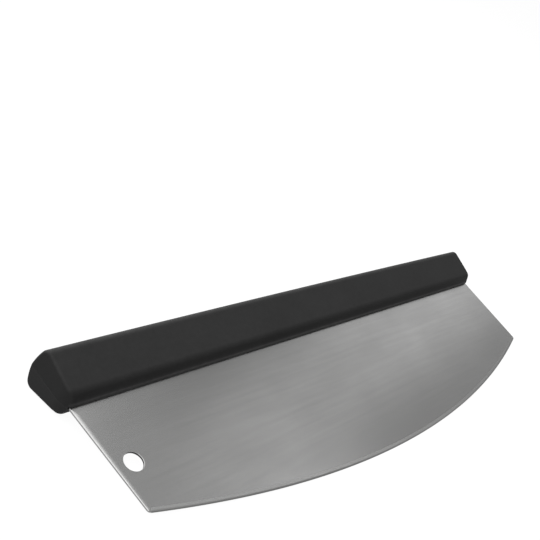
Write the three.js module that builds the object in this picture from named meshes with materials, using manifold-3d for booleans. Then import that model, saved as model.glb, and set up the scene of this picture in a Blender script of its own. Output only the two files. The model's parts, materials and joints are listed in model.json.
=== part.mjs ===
// A rocking pizza cutter: a thin steel blade with a long curved edge, gripped by its tang between the
// two moulded halves of a full-length handle. Millimetres, +Z up.
// The cutter lies on its side, as it does on a table: the back of the handle and the middle of the
// ground edge touch z = 0, the handle runs along X and the blade points towards -Y.
import * as THREE from "three";
import { mergeVertices, toCreasedNormals } from "three/addons/utils/BufferGeometryUtils.js";
import Module from "manifold-3d";

// Handle, outside. Heights count up from the lip, where the blade comes out.
const HANDLE_LENGTH = 364.2;
const HANDLE_HEIGHT = 25.6; // lip to the middle of the crowned top, at the ends
const TOP_BOW = 0.5; // how much higher the top is halfway along the handle
const CROWN_RISE = 2.3; // how far the top bulges above its two long edges
const GRIP_WIDTH = 23.6; // across the long upper edges, before they are rounded
const FOOT_WIDTH = 14; // across the long lower edges, before they are rounded
const FOOT_RISE = 3.2; // lip to the long lower edges
const LIP_WIDTH = 4; // flat strip on both sides of the blade
const UPPER_ROUND = 3.6;
const LOWER_ROUND = 4;
const LIP_ROUND = 0.6;
const END_ROUND = 1.2; // round between each end face and the faces that run into it
const END_LEAN = 0.051; // lean of the end faces, in mm per mm down from the top
const END_DRAFT = 0.096; // how far each half's end face falls back, in mm per mm from the seam
const CHIN_ROUND = 6.1; // larger round from each end face into the lip

// Handle, inside
const WALL = 2.5;
const END_WALL = 5;
const RIB_THICKNESS = 1.8;
const RIBS_BETWEEN_PINS = 2;
const BOSS_WALL = 2; // plastic around each pin socket
const SEAM_GAP = 0.3; // between the two halves
const FIT_GAP = 0.3; // around the tang and the pins

// Blade
const BLADE_THICKNESS = 1;
const BLADE_DEPTH = 76; // lip to the middle of the cutting edge
const EDGE_SAG = 24.8; // how much deeper the edge is at its middle than at its tips
const BLADE_INSET = 3.1; // how much shorter the blade is than the handle, at each end of the lip
const BLADE_SEAT = 2.5; // how far the blade goes up past the lip at its full length
const TIP_INSET = 4; // how far each side leans in between the lip and the tip
const TIP_ROUND = 2;
const BEVEL_HEIGHT = 1.5; // ground strip along the cutting edge, on both faces
const EDGE_THICKNESS = 0.2; // what the grinding leaves at the very edge
const HOLE_DIAMETER = 9; // hanging hole
const HOLE_SIDE_WEB = 4.7; // steel between the hole and the blade's side
const HOLE_TIP_WEB = 16.7; // from the hole down to the level of the tip

// Tang and its pins
const SHOULDER = 9; // how much shorter the tang is than the blade, at each end
const TANG_HEADROOM = 4; // from the tang up to the inside of the handle's top
const PIN_DIAMETER = 4;
const PIN_COUNT = 5;
const PIN_END_MARGIN = 10; // tang's end to the first pin
const PIN_CHAMFER = 0.5;

// Steps that round stretches are drawn with
const CROWN_STEPS = 8;
const CORNER_STEPS = 6;
const UNDER_STEPS = 4;
const END_STEPS = 6;
const BOW_STEPS = 8;
const EDGE_STEPS = 64;
const TIP_STEPS = 4;
const HOLE_SIDES = 40;
const PIN_SIDES = 24;
const LEAST_ROUND = 0.05; // a corner that an inset would make sharp keeps this much
const OVERSHOOT = 1; // how far a cutter reaches past the face that it opens
const CREASE_ANGLE = 0.5; // radians: faces that meet at more than this are shaded apart

// Places that follow from the sizes
const handleHalf = HANDLE_LENGTH / 2;
const seamFace = SEAM_GAP / 2;
const bladeFace = BLADE_THICKNESS / 2;
const bladeTopHalf = handleHalf - BLADE_INSET;
const tipHalf = bladeTopHalf - TIP_INSET;
const tipDepth = BLADE_DEPTH - EDGE_SAG;
const seatHalf = bladeTopHalf + (TIP_INSET * BLADE_SEAT) / tipDepth;
const tangHalf = bladeTopHalf - SHOULDER;
const tangTop = HANDLE_HEIGHT - WALL - TANG_HEADROOM;
const pinRadius = PIN_DIAMETER / 2;
const pinHole = pinRadius + FIT_GAP;
const pinHeight = tangTop / 2;
const pinSpan = 2 * (tangHalf - PIN_END_MARGIN);
const pinPlaces = spread(PIN_COUNT, pinSpan);
const crownRadius = arcRadius(GRIP_WIDTH / 2, CROWN_RISE);
const edgeRadius = arcRadius(tipHalf, EDGE_SAG);
const edgeCentre = new THREE.Vector2(0, edgeRadius - BLADE_DEPTH);

// Straight faces of the handle's section, seen along X with the distance from the seam to the right
const sideLine = lineThrough(
  new THREE.Vector2(FOOT_WIDTH / 2, FOOT_RISE),
  new THREE.Vector2(GRIP_WIDTH / 2, HANDLE_HEIGHT - CROWN_RISE),
);
const underLine = lineThrough(
  new THREE.Vector2(LIP_WIDTH / 2, 0),
  new THREE.Vector2(FOOT_WIDTH / 2, FOOT_RISE),
);
const lipLine = lineThrough(new THREE.Vector2(0, 0), new THREE.Vector2(LIP_WIDTH / 2, 0));

const wasm = await Module();
wasm.setup();

// Plane geometry

// Radius of an arc with this half chord and rise.
function arcRadius(halfChord, rise) {
  return (halfChord ** 2 + rise ** 2) / (2 * rise);
}

// Evenly spaced places, centred on zero.
function spread(count, span) {
  if (count < 2) return [0];
  return Array.from({ length: count }, (_, i) => span * (i / (count - 1) - 0.5));
}

// A line from a to b: its outward normal, to the right of the way from a to b, and how far along that
// normal it lies from the origin.
function lineThrough(a, b) {
  const angle = Math.atan2(b.y - a.y, b.x - a.x) - Math.PI / 2;
  const normal = new THREE.Vector2(Math.cos(angle), Math.sin(angle));
  return { angle, normal, reach: normal.dot(a) };
}

// Where two lines cross after both have moved inwards.
function crossing(first, second, inwards) {
  const p = first.reach - inwards;
  const q = second.reach - inwards;
  const turn = first.normal.cross(second.normal);
  return new THREE.Vector2(
    (p * second.normal.y - q * first.normal.y) / turn,
    (q * first.normal.x - p * second.normal.x) / turn,
  );
}

// Centre of the round between an arc and a line: as far inside the one as inside the other. Of the two
// such points this is the one further along the line's own direction, or against it for way = -1.
function roundCentre(arcCentre, radius, line, inwards, way) {
  const along = new THREE.Vector2(-line.normal.y, line.normal.x);
  const foot = line.normal.clone().multiplyScalar(line.reach - inwards);
  const offset = foot.clone().sub(arcCentre);
  const half = offset.dot(along);
  const rest = offset.lengthSq() - (radius - inwards) ** 2;
  const step = -half + way * Math.sqrt(half ** 2 - rest);
  return foot.addScaledVector(along, step);
}

// Points on an arc from one angle to another, both ends included.
function arcPoints(centre, radius, from, to, steps) {
  return Array.from({ length: steps + 1 }, (_, i) => {
    const angle = from + ((to - from) * i) / steps;
    return new THREE.Vector2(
      centre.x + radius * Math.cos(angle),
      centre.y + radius * Math.sin(angle),
    );
  });
}

// Closed geometry

// Triangles that fill a flat outline.
function flatCap(points) {
  return THREE.ShapeUtils.triangulateShape(points, []);
}

// Triangles that fill an outline whose second half runs back along its first, in strips from one to the
// other. The point between the two halves belongs to both.
function stripCap(points) {
  const last = points.length - 1;
  const triangles = [];
  for (let i = 0; i + 1 < last - i; i++) {
    triangles.push([i, i + 1, last - i]);
    if (i + 1 < last - i - 1) triangles.push([i + 1, last - i - 1, last - i]);
  }
  return triangles;
}

// A closed skin over rings of equal length, with a cap at both ends. Each ring holds its own points in
// the plane and a function that puts such a point in space.
function loft(rings, cap = flatCap) {
  const count = rings[0].points.length;
  const positions = [];
  const faces = [];
  for (const { points, place } of rings) {
    for (const point of points) positions.push(...place(point).toArray());
  }
  for (let ring = 0; ring + 1 < rings.length; ring++) {
    for (let i = 0; i < count; i++) {
      const a = ring * count + i;
      const b = ring * count + ((i + 1) % count);
      faces.push(a, b, b + count, a, b + count, a + count);
    }
  }
  const last = (rings.length - 1) * count;
  for (const [a, b, c] of cap(rings[0].points)) faces.push(c, b, a);
  for (const [a, b, c] of cap(rings.at(-1).points)) faces.push(last + a, last + b, last + c);
  const geometry = new THREE.BufferGeometry();
  geometry.setAttribute("position", new THREE.Float32BufferAttribute(positions, 3));
  geometry.setIndex(faces);
  return geometry;
}

// A geometry as a solid that can be cut and joined.
function solid(geometry) {
  const bare = geometry.clone();
  bare.deleteAttribute("normal");
  bare.deleteAttribute("uv");
  const merged = mergeVertices(bare);
  return new wasm.Manifold(
    new wasm.Mesh({
      numProp: 3,
      vertProperties: merged.getAttribute("position").array,
      triVerts: new Uint32Array(merged.index.array),
    }),
  );
}

// A solid as geometry again.
function surface(made) {
  const { vertProperties, triVerts } = made.getMesh();
  const geometry = new THREE.BufferGeometry();
  geometry.setAttribute("position", new THREE.BufferAttribute(vertProperties, 3));
  geometry.setIndex(new THREE.BufferAttribute(triVerts, 1));
  return toCreasedNormals(geometry, CREASE_ANGLE);
}

// A round bar across the blade, from one height above the blade's middle plane to another.
function crossBar(radius, sides, x, y, from, to) {
  const bar = new THREE.CylinderGeometry(radius, radius, to - from, sides);
  return solid(bar.rotateX(Math.PI / 2).translate(x, y, (from + to) / 2));
}

// A block between two opposite corners.
function block(low, high) {
  const size = high.clone().sub(low);
  const box = new THREE.BoxGeometry(size.x, size.y, size.z);
  return solid(box.translate(...low.clone().add(high).multiplyScalar(0.5).toArray()));
}

// Handle

// Middle of the arc over the handle's top, where the bow lifts it by a height.
function crownCentre(lift) {
  return new THREE.Vector2(0, HANDLE_HEIGHT + lift - crownRadius);
}

// One half of the handle's section, inset by a distance, from the lip round to the middle of the top. x
// is the distance from the blade's middle plane and y the height above the lip.
function halfSection(inset, lift) {
  const rounding = (round) => Math.max(round, inset + LEAST_ROUND);
  const corner = (first, second, round) => {
    const centre = crossing(first, second, rounding(round));
    return arcPoints(centre, rounding(round) - inset, first.angle, second.angle, CORNER_STEPS);
  };
  const lip = corner(lipLine, underLine, LIP_ROUND);
  const foot = corner(underLine, sideLine, LOWER_ROUND);
  const under = [];
  for (let i = 1; i < UNDER_STEPS; i++) {
    under.push(lip.at(-1).clone().lerp(foot[0], i / UNDER_STEPS));
  }
  const upper = rounding(UPPER_ROUND);
  const top = crownCentre(lift);
  const upperCentre = roundCentre(top, crownRadius, sideLine, upper, 1);
  const crownStart = upperCentre.clone().sub(top).angle();
  return [
    ...lip,
    ...under,
    ...foot,
    ...arcPoints(upperCentre, upper - inset, sideLine.angle, crownStart, CORNER_STEPS),
    ...arcPoints(top, crownRadius - inset, crownStart, Math.PI / 2, CROWN_STEPS).slice(1, -1),
    new THREE.Vector2(0, HANDLE_HEIGHT + lift - inset),
  ];
}

// The same as a closed outline, back down the seam with a point across from each other point.
function closedSection(inset, lift) {
  const outer = halfSection(inset, lift).slice(0, -1);
  const top = new THREE.Vector2(seamFace, HANDLE_HEIGHT + lift - inset);
  const seam = outer.map((p) => new THREE.Vector2(seamFace, p.y));
  return [...outer, top, ...seam.toReversed()];
}

// Distance from the blade's middle plane to the handle's side, at a height above the lip.
function sideDistance(height) {
  return (sideLine.reach - sideLine.normal.y * height) / sideLine.normal.x;
}

// How far an end face is set back at a point of the section: it leans, falls back from the seam and
// rounds into the lip.
function endSetback(point) {
  const below = Math.max(CHIN_ROUND - point.y, 0);
  const chin = CHIN_ROUND - Math.sqrt(CHIN_ROUND ** 2 - below ** 2);
  return END_LEAN * (HANDLE_HEIGHT - point.y) + END_DRAFT * point.x + chin;
}

// One half of the handle before it is hollowed: the section swept along it and drawn in round both ends.
// The section's points turn counterclockwise as seen from -X, so the sweep runs from the right end to
// the left.
function filledHalf() {
  const straight = handleHalf - END_ROUND;
  const turns = Array.from({ length: END_STEPS + 1 }, (_, i) => (Math.PI / 2) * (i / END_STEPS));
  const endRing = (end, turn) => {
    const reach = straight + END_ROUND * Math.sin(turn);
    return {
      points: closedSection(END_ROUND * (1 - Math.cos(turn)), 0),
      place: (p) => new THREE.Vector3(end * (reach - endSetback(p)), p.y, p.x),
    };
  };
  const bowRings = [];
  for (let i = 1; i < BOW_STEPS; i++) {
    const share = 1 - (2 * i) / BOW_STEPS;
    bowRings.push({
      points: closedSection(0, TOP_BOW * (1 - share ** 2)),
      place: (p) => new THREE.Vector3(share * straight, p.y, p.x),
    });
  }
  const right = turns.toReversed().map((turn) => endRing(1, turn));
  const left = turns.map((turn) => endRing(-1, turn));
  return solid(loft([...right, ...bowRings, ...left], stripCap));
}

// A pocket between two ribs, open at the seam.
function pocket(from, to) {
  const inside = halfSection(WALL, 0);
  const [low, high] = [inside[0], inside.at(-1)].map((p) => new THREE.Vector2(-OVERSHOOT, p.y));
  const points = [low, ...inside, high];
  const ringAt = (x) => ({ points, place: (p) => new THREE.Vector3(x, p.y, p.x) });
  return solid(loft([ringAt(to), ringAt(from)]));
}

// How deep a pin reaches into one half, from the blade's middle plane.
function socketDepth() {
  return sideDistance(pinHeight - pinHole) - WALL;
}

// The ribs stand between the pins and divide the hollow into pockets.
function ribPlaces() {
  const ribs = [];
  for (let i = 0; i + 1 < pinPlaces.length; i++) {
    const bay = pinPlaces[i + 1] - pinPlaces[i];
    for (let k = 1; k <= RIBS_BETWEEN_PINS; k++) {
      ribs.push(pinPlaces[i] + (bay * k) / (RIBS_BETWEEN_PINS + 1));
    }
  }
  return ribs;
}

// The hollow of one half: a pocket between each two ribs, with a boss left standing for each pin.
function halfHollow(bossRadius) {
  const stops = ribPlaces().flatMap((x) => [x - RIB_THICKNESS / 2, x + RIB_THICKNESS / 2]);
  const bounds = [END_WALL - handleHalf, ...stops, handleHalf - END_WALL];
  let hollow = null;
  for (let i = 0; i < bounds.length; i += 2) {
    const next = pocket(bounds[i], bounds[i + 1]);
    hollow = hollow ? hollow.add(next) : next;
  }
  for (const x of pinPlaces) {
    hollow = hollow.subtract(
      crossBar(bossRadius, PIN_SIDES, x, pinHeight, -2 * OVERSHOOT, GRIP_WIDTH),
    );
  }
  return hollow;
}

// The slot for a stretch of steel this long and this high above the lip, in one half.
function slot(reach, height) {
  return block(
    new THREE.Vector3(-reach - FIT_GAP, -OVERSHOOT, -OVERSHOOT),
    new THREE.Vector3(reach + FIT_GAP, height + FIT_GAP, bladeFace + FIT_GAP),
  );
}

// One half of the handle: a ribbed shell with a boss and a blind socket for each pin, and half of the
// slot that the steel sits in. It is the same from both ends, so both halves have this shape.
function handleHalfGeometry() {
  let half = filledHalf()
    .subtract(halfHollow(pinHole + BOSS_WALL))
    .subtract(slot(tangHalf, tangTop))
    .subtract(slot(seatHalf, BLADE_SEAT));
  for (const x of pinPlaces) {
    half = half.subtract(crossBar(pinHole, PIN_SIDES, x, pinHeight, -OVERSHOOT, socketDepth()));
  }
  return surface(half);
}

// Blade

// The line down the left side of the blade (end = -1), or up its right side (end = 1).
function bladeSide(end) {
  const top = new THREE.Vector2(end * bladeTopHalf, 0);
  const tip = new THREE.Vector2(end * tipHalf, -tipDepth);
  return end < 0 ? lineThrough(top, tip) : lineThrough(tip, top);
}

// Outline of the blade below its tang, with the curved edge drawn in by a distance, counterclockwise
// from the left shoulder. A tip's round runs from the side's own direction to where the edge starts.
function bladeOutline(inset) {
  const radius = edgeRadius - inset;
  const [left, right] = [-1, 1].map((end) => {
    const line = bladeSide(end);
    const centre = roundCentre(edgeCentre, radius, line, TIP_ROUND, -end);
    return { centre, side: line.normal.angle(), touch: centre.clone().sub(edgeCentre).angle() };
  });
  return [
    new THREE.Vector2(-tangHalf, BLADE_SEAT),
    new THREE.Vector2(-seatHalf, BLADE_SEAT),
    ...arcPoints(left.centre, TIP_ROUND, left.side, left.touch, TIP_STEPS),
    ...arcPoints(edgeCentre, radius, left.touch, right.touch, EDGE_STEPS).slice(1, -1),
    ...arcPoints(right.centre, TIP_ROUND, right.touch, right.side, TIP_STEPS),
    new THREE.Vector2(seatHalf, BLADE_SEAT),
    new THREE.Vector2(tangHalf, BLADE_SEAT),
  ];
}

// Where the hanging hole is drilled.
function holeCentre() {
  const radius = HOLE_DIAMETER / 2;
  const depth = tipDepth - HOLE_TIP_WEB - radius;
  const side = bladeTopHalf - (TIP_INSET * depth) / tipDepth;
  return new THREE.Vector2(HOLE_SIDE_WEB + radius - side, -depth);
}

// The plate with its ground edge, the tang above it and all its holes.
function bladeGeometry() {
  const ringAt = (inset, z) => ({
    points: bladeOutline(inset),
    place: (p) => new THREE.Vector3(p.x, p.y, z),
  });
  const plate = solid(
    loft([
      ringAt(BEVEL_HEIGHT, -bladeFace),
      ringAt(0, -EDGE_THICKNESS / 2),
      ringAt(0, EDGE_THICKNESS / 2),
      ringAt(BEVEL_HEIGHT, bladeFace),
    ]),
  );
  const tang = block(
    new THREE.Vector3(-tangHalf, -OVERSHOOT, -bladeFace),
    new THREE.Vector3(tangHalf, tangTop, bladeFace),
  );
  const through = bladeFace + OVERSHOOT;
  const hole = holeCentre();
  let blade = plate
    .add(tang)
    .subtract(crossBar(HOLE_DIAMETER / 2, HOLE_SIDES, hole.x, hole.y, -through, through));
  for (const x of pinPlaces) {
    blade = blade.subtract(crossBar(pinHole, PIN_SIDES, x, pinHeight, -through, through));
  }
  return surface(blade);
}

// Pins

// A dowel with chamfered ends, along Y until it is turned to lie across the blade.
function pinGeometry() {
  const half = socketDepth() - FIT_GAP;
  const profile = [
    new THREE.Vector2(0, -half),
    new THREE.Vector2(pinRadius - PIN_CHAMFER, -half),
    new THREE.Vector2(pinRadius, PIN_CHAMFER - half),
    new THREE.Vector2(pinRadius, half - PIN_CHAMFER),
    new THREE.Vector2(pinRadius - PIN_CHAMFER, half),
    new THREE.Vector2(0, half),
  ];
  return new THREE.LatheGeometry(profile, PIN_SIDES);
}

// Assembly

// How far the cutter rolls about X to lie down. Halfway along, the floor touches the round of the
// handle's upper back edge and either the blade's very edge or the line where its grinding starts.
function restAngle() {
  const corner = roundCentre(crownCentre(TOP_BOW), crownRadius, sideLine, UPPER_ROUND, 1);
  const feet = [
    { depth: BLADE_DEPTH, back: EDGE_THICKNESS / 2 },
    { depth: BLADE_DEPTH - BEVEL_HEIGHT, back: bladeFace },
  ];
  const angles = feet.map(({ depth, back }) => {
    const run = corner.y + depth;
    const drop = corner.x - back;
    return Math.atan2(drop, run) + Math.asin(UPPER_ROUND / Math.hypot(run, drop));
  });
  return Math.min(...angles);
}

function named(name, geometry, material) {
  const mesh = new THREE.Mesh(geometry, material);
  mesh.name = name;
  return mesh;
}

const resin = new THREE.MeshStandardMaterial({ color: 0x2b2b2c, roughness: 0.72, metalness: 0 });
const steel = new THREE.MeshStandardMaterial({ color: 0xb9b9b7, roughness: 0.38, metalness: 1 });
const pinSteel = new THREE.MeshStandardMaterial({ color: 0xa8a8a8, roughness: 0.3, metalness: 1 });

const tool = new THREE.Group();
tool.add(named("blade", bladeGeometry(), steel));

const halfShape = handleHalfGeometry();
tool.add(named("handle_front_half", halfShape, resin));
const backHalf = named("handle_back_half", halfShape, resin);
backHalf.rotation.y = Math.PI;
tool.add(backHalf);

const pinShape = pinGeometry();
pinPlaces.forEach((x, i) => {
  const pin = named(`tang_pin_${i + 1}`, pinShape, pinSteel);
  pin.rotation.x = Math.PI / 2;
  pin.position.set(x, pinHeight, 0);
  tool.add(pin);
});

// Lay the tool down and put the origin under the middle of its box.
tool.rotation.x = restAngle();
const cutter = new THREE.Group();
cutter.add(tool);
cutter.updateMatrixWorld(true);
const extent = new THREE.Box3().setFromObject(cutter, true);
const middle = extent.getCenter(new THREE.Vector3());
tool.position.set(-middle.x, -middle.y, -extent.min.z);

export default cutter;
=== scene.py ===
"""Looks of a rocking pizza cutter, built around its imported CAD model.

The cutter lies on its side: the handle runs along X, the blade points towards -Y and +Z is up. Its
pieces are drawn in the tool's own frame, in metres: x runs along the handle, y is the height above
the handle's lip, with the blade below it, and z is the distance from the blade's middle plane.
"""

import json
import logging
import math
from collections.abc import Callable, Iterable
from dataclasses import dataclass
from enum import Enum
from functools import partial

import bpy
import numpy as np
from mathutils import Matrix, Quaternion, Vector
from mathutils.geometry import delaunay_2d_cdt, tessellate_polygon


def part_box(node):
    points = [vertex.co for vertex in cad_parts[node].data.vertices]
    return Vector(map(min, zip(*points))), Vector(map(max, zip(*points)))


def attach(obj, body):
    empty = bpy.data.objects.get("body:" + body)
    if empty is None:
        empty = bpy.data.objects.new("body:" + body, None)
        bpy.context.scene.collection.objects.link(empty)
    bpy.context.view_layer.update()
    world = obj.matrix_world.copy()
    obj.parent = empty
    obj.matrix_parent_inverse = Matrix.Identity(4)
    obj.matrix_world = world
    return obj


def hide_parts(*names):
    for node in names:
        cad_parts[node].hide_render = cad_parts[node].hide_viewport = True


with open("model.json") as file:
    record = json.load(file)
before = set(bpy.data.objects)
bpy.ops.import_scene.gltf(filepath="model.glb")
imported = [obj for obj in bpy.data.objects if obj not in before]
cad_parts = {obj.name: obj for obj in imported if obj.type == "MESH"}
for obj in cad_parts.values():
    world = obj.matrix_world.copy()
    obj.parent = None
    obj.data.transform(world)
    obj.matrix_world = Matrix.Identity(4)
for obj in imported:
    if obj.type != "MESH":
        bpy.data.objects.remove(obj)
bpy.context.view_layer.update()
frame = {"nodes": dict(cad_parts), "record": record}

MM = 0.001
BODY = "root"
SHARP_ANGLE = math.radians(32)
NOISE_DETAIL = 3.0  # how many finer layers a noise has
NOISE_SPAN = 0.5  # how much of a noise, round its middle, is stretched over a range
INSIDE_ONLY = 1  # asks for the triangles inside an outline
MERGE_SHARE = 0.001  # points nearer than this share of a grid's step count as one
BRUSH_MAP = "across_brushing"  # the map whose first direction lies across the brushing
WEAR_AND_HIGHLIGHT = "wear_and_highlight"  # how far a place is smoothed by wear and painted paler as a highlight, from 0 to 1
LOG = logging.getLogger("pizza_cutter")

Colour = tuple[float, float, float]
Waves = tuple[float, float, float]


# Plane geometry


def heading(angle: float) -> Vector:
    """Gives the unit vector at an angle in the plane."""
    return Vector((math.cos(angle), math.sin(angle)))


def angle_of(vector: Vector) -> float:
    """Gives the angle of a vector in the plane."""
    return math.atan2(vector.y, vector.x)


def arc_radius(half_chord: float, rise: float) -> float:
    """Gives the radius of an arc with this half chord and rise."""
    return (half_chord**2 + rise**2) / (2 * rise)


def spread(count: int, span: float) -> list[float]:
    """Gives evenly spaced places over a span, centred on zero."""
    return [span * (i / (count - 1) - 0.5) for i in range(count)]


def shares(steps: int) -> list[float]:
    """Gives evenly spaced numbers from 0 to 1, both included."""
    return [i / steps for i in range(steps + 1)]


def circle(centre: Vector, radius: float, steps: int) -> list[Vector]:
    """Gives evenly spaced points on a circle, counterclockwise."""
    return [centre + heading(2 * math.pi * t) * radius for t in shares(steps)[:-1]]


def swell(share: float) -> float:
    """Gives a number that goes smoothly from 0 to 1 with a share, and stays at 1 past it."""
    share = min(share, 1)
    return share * share * (3 - 2 * share)


@dataclass(frozen=True)
class Line:
    """A straight stretch of an outline that runs counterclockwise round its shape."""

    angle: float  # of the outward direction
    reach: float  # from the origin, along that direction

    @classmethod
    def through(cls, start: Vector, end: Vector) -> "Line":
        """Gives the line from start to end, with its outward side on the right."""
        angle = angle_of(end - start) - math.pi / 2
        return cls(angle, heading(angle).dot(start))

    def crossing(self, other: "Line", inwards: float) -> Vector:
        """Finds where two lines cross after both have moved inwards.

        Args:
            other: The second line.
            inwards: How far both move, or a negative length to move them outwards.

        Returns:
            The point where they cross.
        """
        first, second = heading(self.angle), heading(other.angle)
        p, q = self.reach - inwards, other.reach - inwards
        turn = first.cross(second)
        return Vector((p * second.y - q * first.y, q * first.x - p * second.x)) / turn

    def round_into_arc(self, centre: Vector, radius: float, inwards: float, way: int) -> Vector:
        """Finds the centre of the round between this line and an arc.

        Args:
            centre: The arc's centre.
            radius: The arc's radius.
            inwards: The round's own radius.
            way: 1 for the end that the line runs to, -1 for the end that it comes from.

        Returns:
            The point that is as far inside the line as inside the arc.
        """
        outward = heading(self.angle)
        along = Vector((-outward.y, outward.x))
        foot = outward * (self.reach - inwards)
        offset = foot - centre
        half = offset.dot(along)
        rest = offset.length_squared - (radius - inwards) ** 2
        return foot + along * (way * math.sqrt(half**2 - rest) - half)


@dataclass(frozen=True)
class Arc:
    """A round stretch of an outline. A negative radius makes a hollow corner."""

    centre: Vector
    radius: float
    start: float  # outward angles
    end: float

    @classmethod
    def corner(cls, first: Line, second: Line, radius: float, inset: float = 0) -> "Arc":
        """Gives the round between two lines.

        Args:
            first: The line that comes in.
            second: The line that goes on.
            radius: The round's radius, negative in a hollow corner.
            inset: How far the outline has been drawn in, round the same centre.

        Returns:
            The round.
        """
        turn = math.remainder(second.angle - first.angle, 2 * math.pi)
        return cls(first.crossing(second, radius), radius - inset, first.angle, first.angle + turn)

    def headings(self, steps: int) -> list[float]:
        """Gives evenly spaced outward angles along the arc, both ends included."""
        return [self.start + (self.end - self.start) * t for t in shares(steps)]

    def points(self, steps: int) -> list[Vector]:
        """Gives evenly spaced points on the arc, both ends included."""
        return [self.centre + heading(a) * self.radius for a in self.headings(steps)]


# Meshes


class Draft:
    """Vertices and faces of one piece, gathered before its mesh is made."""

    def __init__(self) -> None:
        """Starts with nothing drawn."""
        self.places: list[Vector] = []
        self.wear_and_highlight_levels: list[float] = []
        self.faces: list[list[int]] = []
        self.finishes: list[int] = []

    def ring(self, points: Iterable[Vector], wear_and_highlight_levels: Iterable[float] | None = None) -> list[int]:
        """Adds points.

        Args:
            points: Their places.
            wear_and_highlight_levels: How far each is smoothed by wear and painted paler as a
                highlight, or None for not at all.

        Returns:
            Their numbers.
        """
        first = len(self.places)
        self.places.extend(points)
        self.wear_and_highlight_levels.extend(wear_and_highlight_levels or [0.0] * (len(self.places) - first))
        return list(range(first, len(self.places)))

    def face(self, corners: list[int], finish: int = 0) -> None:
        """Adds one face, with its corners counterclockwise from outside."""
        self.faces.append(corners)
        self.finishes.append(finish)

    def band(
        self, first: list[int], second: list[int], finish: Callable[[int], int] | None = None
    ) -> None:
        """Joins two closed rings of equal length with a band of faces.

        Args:
            first: The ring that the faces start from.
            second: The ring that lies to its left, seen from outside.
            finish: Gives the finish of the face that starts at a number along the ring.
        """
        for i, corner in enumerate(first):
            following = (i + 1) % len(first)
            corners = [corner, first[following], second[following], second[i]]
            self.face(corners, finish(i) if finish else 0)

    def facing_face(self, corners: Iterable[int], facing: Vector) -> None:
        """Adds one triangle, with its corners in the order that makes it look this way."""
        a, b, c = corners
        normal = (self.places[b] - self.places[a]).cross(self.places[c] - self.places[a])
        self.face([a, b, c] if normal.dot(facing) > 0 else [a, c, b])

    def cap(self, rings: list[list[int]], facing: Vector) -> None:
        """Fills a flat face, which may have holes.

        Args:
            rings: The outer ring and the rings of its holes.
            facing: The way that the face looks.
        """
        loops = [[self.places[i] for i in ring] for ring in rings]
        numbers = [i for ring in rings for i in ring]
        for triangle in tessellate_polygon(loops):
            self.facing_face((numbers[i] for i in triangle), facing)

    def relief(
        self,
        ring: list[int],
        plan: list[Vector],
        step: float,
        lift: Callable[[Vector], Vector],
        facing: Vector,
    ) -> None:
        """Fills a ring with a face that isn't flat, through a grid of points inside it.

        Args:
            ring: The numbers of the ring's points.
            plan: The same points in the plane, counterclockwise round a shape without hollows.
            step: The grid's spacing.
            lift: Puts a point of the plane in space.
            facing: The way that the face looks.
        """
        corners = np.array(plan)
        edges = np.roll(corners, -1, axis=0) - corners
        inwards = np.stack([-edges[:, 1], edges[:, 0]], 1) / np.hypot(*edges.T)[:, None]
        counts = np.ceil((corners.max(0) - corners.min(0)) / step).astype(int)
        columns, rows = (corners[:, axis].min() + step * np.arange(counts[axis]) for axis in (0, 1))
        grid = [Vector((x, y)) for y in rows for x in columns]
        depths = [((np.array(q) - corners) * inwards).sum(1).min() for q in grid]
        inner = [q for q, depth in zip(grid, depths) if depth > step / 2]
        numbers = ring + self.ring(lift(q) for q in inner)
        outline = [list(range(len(plan)))]
        near = step * MERGE_SHARE
        _, _, triangles, sources, *_ = delaunay_2d_cdt(plan + inner, [], outline, INSIDE_ONLY, near)
        for triangle in triangles:
            self.facing_face((numbers[sources[i][0]] for i in triangle), facing)

    def mesh(self, name: str) -> bpy.types.Mesh:
        """Makes the mesh."""
        mesh = bpy.data.meshes.new(name)
        mesh.from_pydata(self.places, [], self.faces)
        mesh.polygons.foreach_set("material_index", self.finishes)
        mesh.attributes.new(WEAR_AND_HIGHLIGHT, "FLOAT", "POINT").data.foreach_set("value", self.wear_and_highlight_levels)
        mesh.update()
        return mesh


def placed(mesh: bpy.types.Mesh) -> bpy.types.Object:
    """Puts a mesh in the scene under its own name."""
    piece = bpy.data.objects.new(mesh.name, mesh)
    bpy.context.scene.collection.objects.link(piece)
    return piece


def loft(rings: list[list[Vector]]) -> Draft:
    """Draws a closed skin over flat rings of equal length, with a cap at both ends.

    Args:
        rings: The rings in order, each counterclockwise seen from the end that the skin runs to.

    Returns:
        The drawing.
    """
    draft = Draft()
    numbers = [draft.ring(ring) for ring in rings]
    for first, second in zip(numbers, numbers[1:]):
        draft.band(first, second)
    way = rings[-1][0] - rings[0][0]
    draft.cap([numbers[0]], -way)
    draft.cap([numbers[-1]], way)
    return draft


def bar(outline: list[Vector], low: float, high: float) -> bpy.types.Object:
    """Makes a straight bar across the blade, for cutting.

    Args:
        outline: Its outline seen from the front, counterclockwise.
        low: Where it starts, from the blade's middle plane.
        high: Where it ends.

    Returns:
        The bar.
    """
    rings = [[Vector((p.x, p.y, z)) for p in outline] for z in (low, high)]
    return placed(loft(rings).mesh("bar"))


def cut(piece: bpy.types.Object, cutter: bpy.types.Object) -> None:
    """Cuts one closed mesh out of another, and removes the cutter.

    Args:
        piece: The object that is cut.
        cutter: The object that is taken away from it.
    """
    boolean = piece.modifiers.new("cut", "BOOLEAN")
    boolean.operation = "DIFFERENCE"
    boolean.solver = "MANIFOLD"
    boolean.object = cutter
    graph = bpy.context.evaluated_depsgraph_get()
    made = bpy.data.meshes.new_from_object(piece.evaluated_get(graph))
    piece.modifiers.clear()
    name, old = piece.data.name, piece.data
    piece.data = made
    bpy.data.meshes.remove(old)
    bpy.data.meshes.remove(cutter.data)
    made.name = name


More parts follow.
